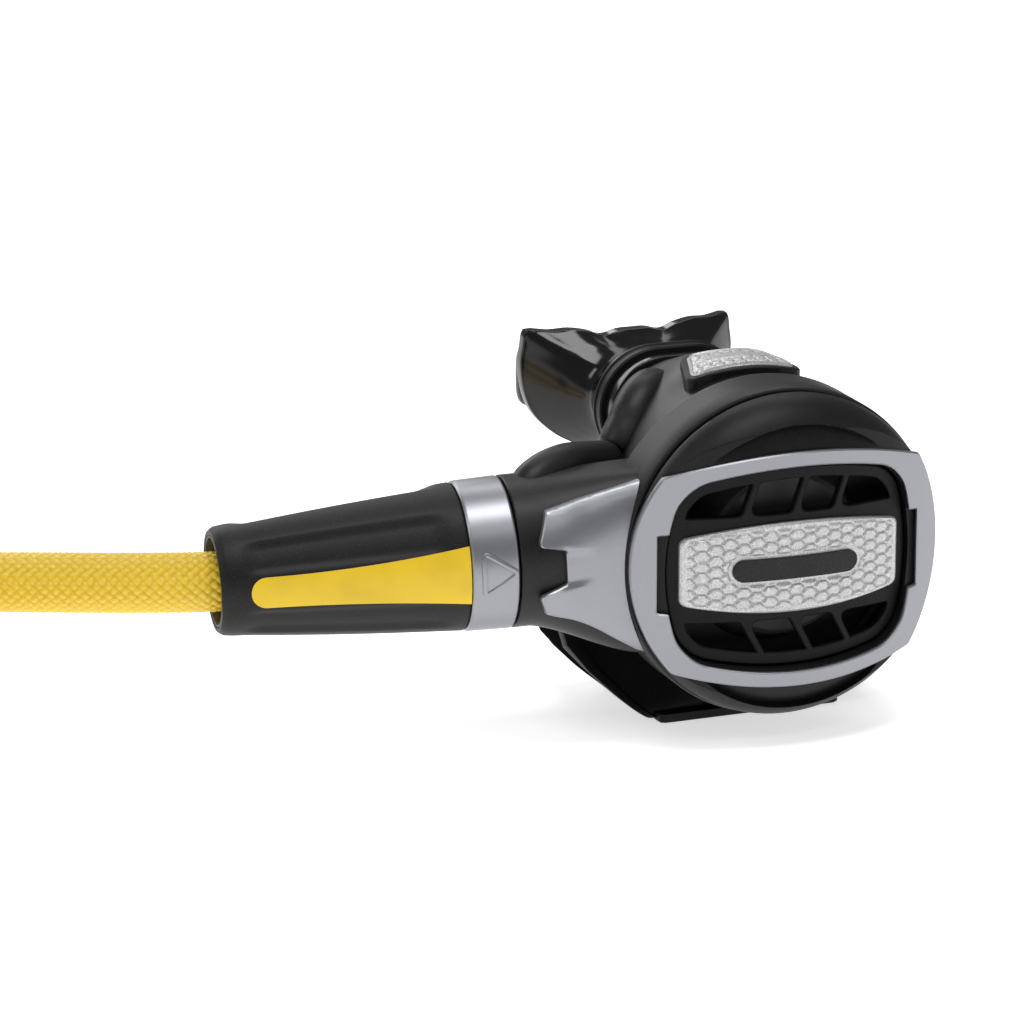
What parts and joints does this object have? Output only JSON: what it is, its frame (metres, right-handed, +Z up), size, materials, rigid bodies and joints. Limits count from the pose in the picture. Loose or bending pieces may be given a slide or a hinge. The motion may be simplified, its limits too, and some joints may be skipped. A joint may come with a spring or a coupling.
{
  "type": "scuba demand regulator",
  "caption": "Second-stage scuba demand regulator with purge button, flow selector grip, mouthpiece, exhaust tee and a coiled braided low-pressure hose.",
  "frame": {"origin": "middle of the exhaust tee's flat resting face, below the housing's axis", "axes": "+Z up, +Y towards the mouthpiece, -X towards the hose and grip, -Y the purge side"},
  "size_m": [0.4193, 0.1774, 0.08],
  "materials": {
    "black_shell": "fine spark-eroded matte black technopolymer",
    "black_trim": "matte black moulded grille and ring",
    "grip_black": "fine-grained matte black grip",
    "silver_trim": "satin silver with bright chamfered edges",
    "badge_silver": "sandy silver with a honeycomb relief",
    "dark_emblem": "plain dark raised bar",
    "yellow_inlay": "flat bright yellow",
    "liner_grey": "pale grey liner ring",
    "mouth_silicone": "glossy black silicone",
    "membrane_silicone": "translucent dark silicone",
    "seal_rubber": "black nitrile",
    "valve_brass": "chromed and bare brass",
    "steel": "stainless steel",
    "yellow_braid": "glossy yellow nylon braid"
  },
  "bodies": {
    "root": {"housing": "black_shell", "bypass_tube": "black_shell", "fork_trim": "silver_trim", "top_badge": "badge_silver", "cover_ring": "black_trim", "face_ring": "silver_trim", "purge_springs": "steel", "diaphragm_ring": "black_trim", "valve_tube": "valve_brass", "poppet_spring": "steel", "orifice": "valve_brass", "orifice_oring": "seal_rubber", "inlet_nut": "steel", "hose_nut": "steel", "hose_stem": "valve_brass", "hose_oring": "seal_rubber", "hose_ferrule": "steel", "hose_tube": "yellow_braid", "hose_coil": "yellow_braid", "hose_tail": "yellow_braid", "lp_ferrule": "steel", "lp_fitting": "valve_brass", "lp_oring": "seal_rubber", "exhaust_tee": "black_shell", "exhaust_seat": "black_trim", "mouthpiece": "mouth_silicone", "mouthpiece_clamp": "black_trim"},
    "purge_button": {"purge_grille": "black_trim", "purge_badge": "badge_silver", "purge_emblem": "dark_emblem"},
    "diaphragm_plate": {"diaphragm": "membrane_silicone", "diaphragm_disc": "steel"},
    "lever": {"demand_lever": "steel"},
    "poppet_group": {"poppet": "valve_brass", "poppet_pad": "seal_rubber", "lever_washer": "steel", "poppet_nut": "valve_brass"},
    "selector": {"selector_ring": "silver_trim", "selector_grip": "grip_black", "grip_inlay": "yellow_inlay", "grip_liner": "liner_grey", "mode_shutter": "black_trim", "shutter_oring": "seal_rubber"},
    "exhaust_flap": {"exhaust_valve": "membrane_silicone"}
  },
  "joints": [
    {"name": "purge_press", "type": "slide", "parent": "root", "child": "purge_button", "axis": [0, 1, 0], "range_m": [0, 0.0032], "stiffness_N_per_m": 600, "deforming": ["purge_springs"]},
    {"name": "diaphragm_travel", "type": "slide", "parent": "root", "child": "diaphragm_plate", "axis": [0, 1, 0], "range_m": [0, 0.0032], "deforming": ["diaphragm"]},
    {"name": "lever_swing", "type": "hinge", "parent": "root", "child": "lever", "pos_m": [-0.00905, -0.02049, 0.04585], "axis": [0, 0, 1], "range_deg": [0, 11]},
    {"name": "poppet_travel", "type": "slide", "parent": "root", "child": "poppet_group", "axis": [0.991, -0.1287, 0.0366], "range_m": [0, 0.0009], "deforming": ["poppet_spring"]},
    {"name": "selector_turn", "type": "hinge", "parent": "root", "child": "selector", "pos_m": [-0.059, -0.014, 0.044], "axis": [-0.991, 0.1287, -0.0366], "range_deg": [0, 75]},
    {"name": "exhaust_lift", "type": "slide", "parent": "root", "child": "exhaust_flap", "axis": [0, 0.7986, -0.6018], "range_m": [0, 0.0012], "stiffness_N_per_m": 100}
  ],
  "couplings": [
    {"joint": "diaphragm_travel", "follows": "purge_press", "ratio": 1},
    {"joint": "lever_swing", "follows": "purge_press", "rad_per_m": 52},
    {"joint": "poppet_travel", "follows": "purge_press", "ratio": 0.25}
  ]
}
